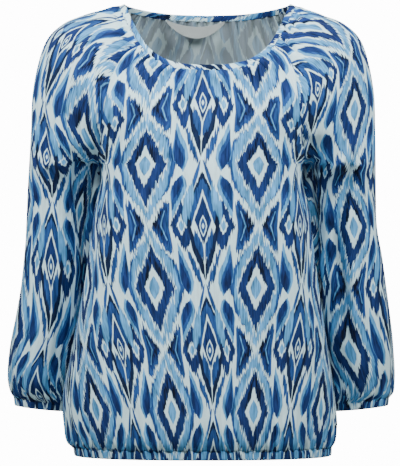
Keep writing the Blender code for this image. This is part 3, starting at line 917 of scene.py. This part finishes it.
def diamond(top, low, middle, half_width):
    return (row_at(top, middle, 0.0), row_at((top + low) / 2, middle, half_width),
            row_at(low, middle, 0.0))


def chevron(top, low, start, peak, half_width):
    """A bent band that points at the eyes' column."""
    end = half_width * CHEVRON_END
    return (row_at(top, start, end), row_at((top + low) / 2, peak, half_width),
            row_at(low, start, end))


def drop(tail, tail_at, head, head_at, half_width):
    """A drop with a thin tail and a round head, either way up."""
    rows = [row_at(tail + (head - tail) * share, tail_at + (head_at - tail_at) * share,
                   half_width * math.sin(math.pi * share ** DROP_WEIGHT)) for share in DROP_SHARES]
    return tuple(sorted(rows))


# The motifs of the print, painted in this order: their dye, how far the yarns carry it
# beyond the edge along the warp, and their form. Columns of ogees and of eyes stand side
# by side, and each is symmetric about its middle. down is measured from an eye's centre
MOTIFS = (
    # The eye in its halo and diamond
    (MID, 6, almond(-75, 75, EYE, 45)),
    (LIGHT, 9, almond(-80, 80, EYE, 38)),
    (CREAM, 10, diamond(-64, 64, EYE, 34)),
    (ROYAL, 6, diamond(-58, 58, EYE, 31)),
    (NAVY, 6, slanted(-52, 0, EYE, 64, 3)),
    (CREAM, 4, diamond(-32, 32, EYE, 16)),
    (LIGHT, 0.5, almond(-16, 16, EYE, 8)),
    # Hooks
    (MID, 6, chevron(-115, -50, 50, 62, 13)),
    (ROYAL, 6, chevron(-110, -60, 52, 65, 9)),
    (NAVY, 6, chevron(-105, -70, 56, 70, 4)),
    (LIGHT, 1, chevron(-105, -65, 53, 60, 0.5)),
    # Brackets
    (ROYAL, 5, diamond(50, 120, 28, 18)),
    (CREAM, 4, diamond(72, 98, 30, 7)),
    (LIGHT, 1, almond(78, 92, 30, 3)),
    # The ogee, its heart, petals and bud
    (DARK, 2, almond(10, 160, OGEE, 22)),
    (MID, 3, almond(20, 120, OGEE, 18)),
    (CREAM, 1.5, diamond(35, 140, OGEE, 18)),
    (ROYAL, 0.8, diamond(45, 110, OGEE, 12)),
    (MID, 4, slanted(90, 132, 13, 2, 5)),
    (CREAM, 0.3, almond(70, 100, OGEE, 6)),
    (MID, 0.3, almond(74, 96, OGEE, 4)),
    (CREAM, 0.2, almond(81, 89, OGEE, 2)),
    # The ogee's foot, flanks, legs and field
    (CREAM, 0.5, almond(105, 160, OGEE, 0.9)),
    (MID, 6, slanted(115, 172, 25, 4, 4)),
    (MID, 0.5, slanted(-5, 40, 2, 15, 2)),
    (LIGHT, 5, slanted(25, 85, 13, 26, 6)),
    # Drops, and tears that hang the other way up
    (LIGHT, 1.5, drop(-60, 38, 10, 26, 11)),
    (MID, 1.5, drop(-50, 39, 8, 28, 8)),
    (ROYAL, 1.5, drop(-35, 38, 6, 29, 6)),
    (LIGHT, 1.5, drop(75, 43, 15, 26, 11)),
    (MID, 1.5, drop(65, 43, 17, 28, 8)),
    (ROYAL, 1.5, drop(50, 40, 19, 29, 6)),
)

PERIOD = REPEAT_HEIGHT * MM
EDGE_SOFTNESS = 1.0
# A motif's edges are held in a colour ramp, as shares of this span in millimetres
EDGE_LOW = -20.0
EDGE_SPAN = 120.0
# The points in which a motif ends reach this far, or most of the way to the next one
CLOSING = 8.0
CLOSING_ROOM = 0.95

# How uneven the print is: sideways in metres, along the warp in feathers, and in strength
WANDER = 0.005
FRAY = 2.8
STREAKS = 1.3
CLOUDS = 0.9
LEAST_DYE = 0.35
# A colour counts as undyed by its red times this
UNDYED_RED = 1.3
NAVY_CONTRAST = 5.0
NAVY_OFFSET = -1.5

# Grains of the noises: how many to a metre, across the warp and along it
WANDER_GRAIN = (28, 9)
YARN_GRAIN = (480, 24)
NAVY_GRAIN = (420, 42)
STREAK_GRAIN = (520, 34)
CLOUD_GRAIN = (120, 40)
WARP_GRAIN = (1700, 240)
WEFT_GRAIN = (260, 1500)
SATIN_GRAIN = (900, 2500)

THREAD_HEIGHT = 0.0004
# The wrong side's grey and how much of it covers the print: partly the paler wrong side, partly
# painted shade inside the blouse
WRONG_SIDE_GREY_AND_SHADE = (0.21, 0.26, 0.27)
WRONG_SIDE_FADE_AND_SHADE = 0.80
# The label's greys: pale satin with painted shade of the inside of the neck, between two random
# tones
SHADED_SATIN_DARKER = (0.17, 0.20, 0.20)
SHADED_SATIN_LIGHTER = (0.24, 0.27, 0.27)
RIGHT_SIDE = {"Roughness": 0.82, "Specular IOR Level": 0.12,
              "Sheen Weight": 0.03, "Sheen Roughness": 0.5}
WRONG_SIDE = {"Roughness": 0.88, "Specular IOR Level": 0.2}
WEAVE_BUMP = 0.25
WRONG_SIDE_BUMP = 0.3
RIB_SPACING = 0.0007
RIB_HEIGHT = 0.0002


class Tree:
    """Short ways to add shader nodes to a node tree."""

    def __init__(self, node_tree):
        self.nodes = node_tree.nodes
        self.links = node_tree.links

    def add(self, kind, inputs=(), **settings):
        node = self.nodes.new("ShaderNode" + kind)
        for name, value in settings.items():
            setattr(node, name, value)
        for slot, value in dict(inputs).items():
            self.feed(node.inputs[slot], value)
        return node

    def feed(self, slot, value):
        if isinstance(value, bpy.types.NodeSocket):
            self.links.new(value, slot)
        else:
            slot.default_value = (*value, 1.0) if slot.type == "RGBA" else value

    def math(self, operation, *values, clamp=False):
        inputs = dict(enumerate(values))
        return self.add("Math", inputs, operation=operation, use_clamp=clamp).outputs[0]

    def mix(self, share, first, second, blend="MIX"):
        node = self.add("Mix", {"Factor": share}, data_type="RGBA", blend_type=blend)
        self.feed(node.inputs["A"], first)
        self.feed(node.inputs["B"], second)
        return node.outputs["Result"]

    def noise(self, cloth, grain, detail=1.0):
        place = self.add("Mapping", {"Vector": cloth, "Scale": (*grain, 1.0)}).outputs[0]
        inputs = {"Vector": place, "Scale": 1.0, "Detail": detail}
        return self.add("TexNoise", inputs).outputs["Fac"]

    def swing(self, noise, reach):
        """Noise from 0 to 1, spread to between -reach and reach."""
        return self.math("MULTIPLY_ADD", noise, 2 * reach, -reach)


def closed_rows(rows):
    """A motif's rows with its ends drawn to points, over one repeat from its first row."""
    first, last = rows[0], rows[-1]
    length = last[0] - first[0]
    reach = min(CLOSING, (PERIOD - length) / 2 * CLOSING_ROOM)
    closed = [(down - first[0], inner, outer) for down, inner, outer in rows]
    for down, (_, inner, outer) in ((length + reach, last), (PERIOD - reach, first)):
        middle = max(min((inner + outer) / 2, OUTERMOST), 0)
        closed.append((down, middle + reach, middle - reach))
    return closed + [(PERIOD, first[1], first[2])]


def fill_ramp(ramp, rows):
    """A ramp whose red and green hold a motif's inner and outer edges, row by row."""
    while len(ramp.elements) < len(rows):
        ramp.elements.new(0.5)
    for element, row in zip(ramp.elements, rows):
        element.position = row[0] / PERIOD
    for element, row in zip(ramp.elements, rows):
        element.color = (*((edge - EDGE_LOW) / EDGE_SPAN for edge in row[1:]), 0.0, 1.0)


def motif_mask(tree, motif, across, down, fray):
    """1 inside the motif and 0 outside, with the ragged ends that ikat dyeing gives."""
    colour, feather, rows = motif
    moved = tree.math("MULTIPLY_ADD", fray, feather, down)
    shifted = tree.math("MULTIPLY_ADD", moved, 1 / PERIOD, -rows[0][0] / PERIOD)
    ramp = tree.add("ValToRGB", {"Fac": tree.math("FRACT", shifted)})
    fill_ramp(ramp.color_ramp, closed_rows(rows))
    edges = tree.add("SeparateColor", {"Color": ramp.outputs["Color"]})
    inner = tree.math("MULTIPLY_ADD", edges.outputs[0], EDGE_SPAN, EDGE_LOW)
    outer = tree.math("MULTIPLY_ADD", edges.outputs[1], EDGE_SPAN, EDGE_LOW)
    depth = tree.math("MINIMUM", tree.math("SUBTRACT", across, inner),
                      tree.math("SUBTRACT", outer, across))
    spread = 0.5 + SPREADS[colour] / EDGE_SOFTNESS
    return tree.math("MULTIPLY_ADD", depth, 1 / EDGE_SOFTNESS, spread, clamp=True)


def dye_strength(tree, cloth, colour):
    """The dye takes unevenly: in brush-like streaks along the warp and in broader clouds.
    The undyed cream varies little."""
    strength = tree.math("ADD", tree.swing(tree.noise(cloth, STREAK_GRAIN, 3.0), STREAKS),
                         tree.swing(tree.noise(cloth, CLOUD_GRAIN, 2.0), CLOUDS))
    red = tree.add("SeparateColor", {"Color": colour}).outputs[0]
    undyed = tree.math("MULTIPLY", red, UNDYED_RED, clamp=True)
    dyed = tree.math("SUBTRACT", 1.0, undyed)
    return tree.math("MAXIMUM", tree.math("MULTIPLY_ADD", strength, dyed, 1.0), LEAST_DYE)


def print_group():
    """The ikat print as a node group: cloth coordinates in metres in, dye colour out."""
    group = bpy.data.node_groups.new("ikat_print", "ShaderNodeTree")
    group.interface.new_socket("Cloth", in_out="INPUT", socket_type="NodeSocketVector")
    group.interface.new_socket("Color", in_out="OUTPUT", socket_type="NodeSocketColor")
    tree = Tree(group)
    cloth = group.nodes.new("NodeGroupInput").outputs[0]
    place = tree.add("SeparateXYZ", {"Vector": cloth})
    wander = tree.swing(tree.noise(cloth, WANDER_GRAIN, 2.0), WANDER)
    u = tree.math("ADD", place.outputs["X"], wander)
    turned = tree.math("FRACT", tree.math("MULTIPLY_ADD", u, 1 / REPEAT_WIDTH, 0.5))
    mirrored = tree.math("ABSOLUTE", tree.math("SUBTRACT", turned, 0.5))
    across = tree.math("MULTIPLY", mirrored, REPEAT_WIDTH * MM)
    down = tree.math("MULTIPLY", place.outputs["Y"], MM)
    fray = tree.swing(tree.noise(cloth, YARN_GRAIN, 2.0), FRAY)
    patches = tree.noise(cloth, NAVY_GRAIN, 2.0)
    thin = tree.math("MULTIPLY_ADD", patches, NAVY_CONTRAST, NAVY_OFFSET, clamp=True)
    printed = CREAM
    for motif in MOTIFS:
        mask = motif_mask(tree, motif, across, down, fray)
        if motif[0] == NAVY:
            mask = tree.math("MULTIPLY", mask, thin)
        printed = tree.mix(mask, printed, motif[0])
    dyed = tree.mix(1.0, printed, dye_strength(tree, cloth, printed), "MULTIPLY")
    tree.links.new(dyed, group.nodes.new("NodeGroupOutput").inputs[0])
    return group


PRINT = print_group()


def new_material(name, settings):
    """A material with these settings on its shader's own sockets."""
    material = bpy.data.materials.new(name)
    material.use_nodes = True
    tree = Tree(material.node_tree)
    shader = tree.nodes["Principled BSDF"]
    for slot, value in settings.items():
        tree.feed(shader.inputs[slot], value)
    return material, tree, shader


def cloth_place(tree):
    return tree.add("UVMap", uv_map="cloth").outputs[0]


def weave_bump(tree, cloth, strength):
    """Fine crepe: threads of uneven thickness crossing each other."""
    threads = tree.math("ADD", tree.noise(cloth, WARP_GRAIN), tree.noise(cloth, WEFT_GRAIN))
    inputs = {"Height": threads, "Strength": strength, "Distance": THREAD_HEIGHT}
    return tree.add("Bump", inputs).outputs[0]


def cloth_material(name, settings, bump, faded_and_shaded=False):
    """Woven viscose with the print, or on the wrong side the print faded into a grey that is
    partly the paler wrong side and partly painted shade of the blouse's inside.
    """
    material, tree, shader = new_material(name, settings)
    cloth = cloth_place(tree)
    colour = tree.add("Group", {0: cloth}, node_tree=PRINT).outputs[0]
    if faded_and_shaded:
        # Fade the print into a grey that is partly the paler wrong side and partly painted shade
        # inside the blouse
        colour = tree.mix(WRONG_SIDE_FADE_AND_SHADE, colour, WRONG_SIDE_GREY_AND_SHADE)
    tree.feed(shader.inputs["Base Color"], colour)
    tree.feed(shader.inputs["Normal"], weave_bump(tree, cloth, bump))
    return material


def label_satin():
    """Blank pale satin with fine ribs, its colour painted down to grey as the shade inside the
    neck, and varied at random.
    """
    material, tree, shader = new_material("label_satin", {
        "Roughness": 0.55, "Specular IOR Level": 0.3})
    cloth = cloth_place(tree)
    along = tree.add("SeparateXYZ", {"Vector": cloth}).outputs["Y"]
    ribs = tree.math("SINE", tree.math("MULTIPLY", along, 2 * math.pi / RIB_SPACING))
    # Painted shade: the pale satin coloured grey as it lies in the shade inside the neck
    painted_shade_tone = tree.mix(tree.noise(cloth, SATIN_GRAIN), SHADED_SATIN_DARKER, SHADED_SATIN_LIGHTER)
    tree.feed(shader.inputs["Base Color"], painted_shade_tone)
    bump = tree.add("Bump", {"Height": ribs, "Strength": 0.2, "Distance": RIB_HEIGHT})
    tree.feed(shader.inputs["Normal"], bump.outputs[0])
    return material


# ---- the pieces

def make_body(facing, name, surfaces):
    smooth = body_grid(facing)
    cloth = body_print(facing, smooth)
    mesh = mesh_from_grid(name, folded_body(facing, smooth), cloth)
    face_outwards(mesh, body_axis)
    return piece(name, mesh, surfaces, CLOTH_WALL), cloth


def make_sleeve(side, name, surfaces):
    smooth = sleeve_grid(side)
    cloth = sleeve_print(side, smooth)
    mesh = mesh_from_grid(name, folded_sleeve(side, smooth), cloth, weld_from=SLEEVE_CAP_ROWS)
    middle = (smooth[:, 0] + smooth[:, SLEEVE_COLUMNS // 2]) / 2
    order = np.argsort(middle[:, 2])

    def sleeve_axis(points):
        z = points[:, 2]
        x, y = (np.interp(z, middle[order, 2], middle[order, axis]) for axis in (0, 1))
        return np.stack([x, y, z], axis=-1)

    face_outwards(mesh, sleeve_axis)
    return piece(name, mesh, surfaces, CLOTH_WALL), cloth


def make_band(name, points_at, band, seed, cloth, surface):
    grid = band_grid(points_at, band, seed)
    mesh = mesh_from_grid(name, grid, cloth, loop_along=True, loop_down=True)
    ring = grid.mean(axis=0)

    def band_core(points):
        nearest = np.argmin(((points[:, None, :2] - ring[None, ::8, :2]) ** 2).sum(-1), axis=1)
        return ring[::8][nearest]

    face_outwards(mesh, band_core)
    return piece(name, mesh, [surface])


def make_label(surface):
    """A strip from the binding's inner face that bows forwards, sewn at its two ends."""
    down = evenly(LABEL_ROWS)[:, None]
    u = evenly(LABEL_COLUMNS, -1.0)
    middle = 1 - u * u
    aside = LABEL_SHIFT + u * LABEL_HALF_LENGTH
    turn = 180 - np.degrees(np.arcsin(np.abs(aside) / NECK_HALF_WIDTH))
    seat = neck_point(turn, LABEL_ALONG)
    height = LABEL_END_HEIGHT + (LABEL_MIDDLE_HEIGHT - LABEL_END_HEIGHT) * middle
    y = seat[:, 1] - LABEL_STAND_OFF - LABEL_BOW * middle - LABEL_TILT * down * middle
    z = seat[:, 2] - LABEL_SAG * middle - height * down
    grid = np.stack(np.broadcast_arrays(NECK_CENTRE + aside, y, z), axis=-1)
    cloth = np.stack([run_across(grid, 0), run_down(grid, 0)], axis=-1)
    mesh = mesh_from_grid("label", grid, cloth)
    return piece("label", mesh, [surface], LABEL_WALL)


both_sides = [
    cloth_material("printed_cloth", RIGHT_SIDE, WEAVE_BUMP),
    cloth_material("printed_cloth_wrong_side", WRONG_SIDE, WRONG_SIDE_BUMP, faded_and_shaded=True)]
band_cloth = cloth_material("printed_band", RIGHT_SIDE, WEAVE_BUMP)

front, front_cloth = make_body(-1, "front", both_sides)
back, back_cloth = make_body(1, "back", both_sides)
sleeve_left, left_cloth = make_sleeve(1, "sleeve_left", both_sides)
sleeve_right, right_cloth = make_sleeve(-1, "sleeve_right", both_sides)

binding = make_band("neck_binding", binding_at, BINDING_BAND, 0.5, binding_print(), band_cloth)
half_hem = HEM_BAND.columns // 2
hem_edge = np.concatenate([edge_print(front_cloth, half_hem)[:-1],
                           edge_print(back_cloth[:, ::-1], half_hem)])
hem = make_band("hem_casing", hem_at, HEM_BAND, 1.5, casing_print(hem_edge), band_cloth)
for side, name, cloth in ((1, "left", left_cloth), (-1, "right", right_cloth)):
    cuff_edge = edge_print(cloth, CUFF_BAND.columns)
    make_band("cuff_casing_" + name, cuff_at(side), CUFF_BAND, 2.5 + side,
                           casing_print(cuff_edge), band_cloth)
label = make_label(label_satin())


# ---- the studio

def area_light(name, place, target, size, power, spread):
    data = bpy.data.lights.new(name, "AREA")
    data.shape = "SQUARE"
    data.size = size
    data.energy = power
    data.spread = math.radians(spread)
    lamp = new_object(name, data)
    lamp.location = place
    lamp.rotation_euler = rotation_towards(np.subtract(target, place))


def rotation_towards(direction):
    """Euler angles that point an object's -Z along a direction, with no roll."""
    x, y, z = direction / np.linalg.norm(direction)
    return (math.acos(-z), 0.0, math.atan2(-x, y))


def make_floor():
    mesh = bpy.data.meshes.new("floor")
    corners = ((-1, -1), (1, -1), (1, 1), (-1, 1))
    mesh.from_pydata([(x * FLOOR_HALF, y * FLOOR_HALF, FLOOR_Z) for x, y in corners],
                     [], [(0, 1, 2, 3)])
    mesh.materials.append(new_material("floor", {
        "Base Color": (0.86, 0.86, 0.85), "Roughness": 0.9})[0])
    new_object("floor", mesh)


def make_world():
    """Even light from all round, before a backdrop that shows as bright white paper."""
    world = bpy.data.worlds.new("studio")
    bpy.context.scene.world = world
    world.use_nodes = True
    tree = Tree(world.node_tree)
    ambient = tree.nodes["Background"]
    tree.feed(ambient.inputs["Color"], (0.98, 0.99, 1.0))
    tree.feed(ambient.inputs["Strength"], AMBIENT_STRENGTH)
    backdrop = tree.add("Background", {"Color": (1.0, 1.0, 1.0), "Strength": BACKDROP_STRENGTH})
    seen = tree.add("LightPath").outputs["Is Camera Ray"]
    mixed = tree.add("MixShader", {0: seen, 1: ambient.outputs[0], 2: backdrop.outputs[0]})
    tree.links.new(mixed.outputs[0], tree.nodes["World Output"].inputs["Surface"])


def make_camera():
    data = bpy.data.cameras.new("camera")
    data.sensor_width = SENSOR
    data.sensor_fit = "HORIZONTAL"
    data.lens = SENSOR * PIXELS_PER_METRE * CAMERA_DISTANCE / PHOTO_WIDTH
    camera = new_object("camera", data)
    camera.location = (CAMERA_X, -CAMERA_DISTANCE, CAMERA_Z)
    camera.rotation_euler = (math.radians(90), 0, 0)
    bpy.context.scene.camera = camera


make_camera()
make_world()
make_floor()
for lamp in LAMPS:
    area_light(*lamp)
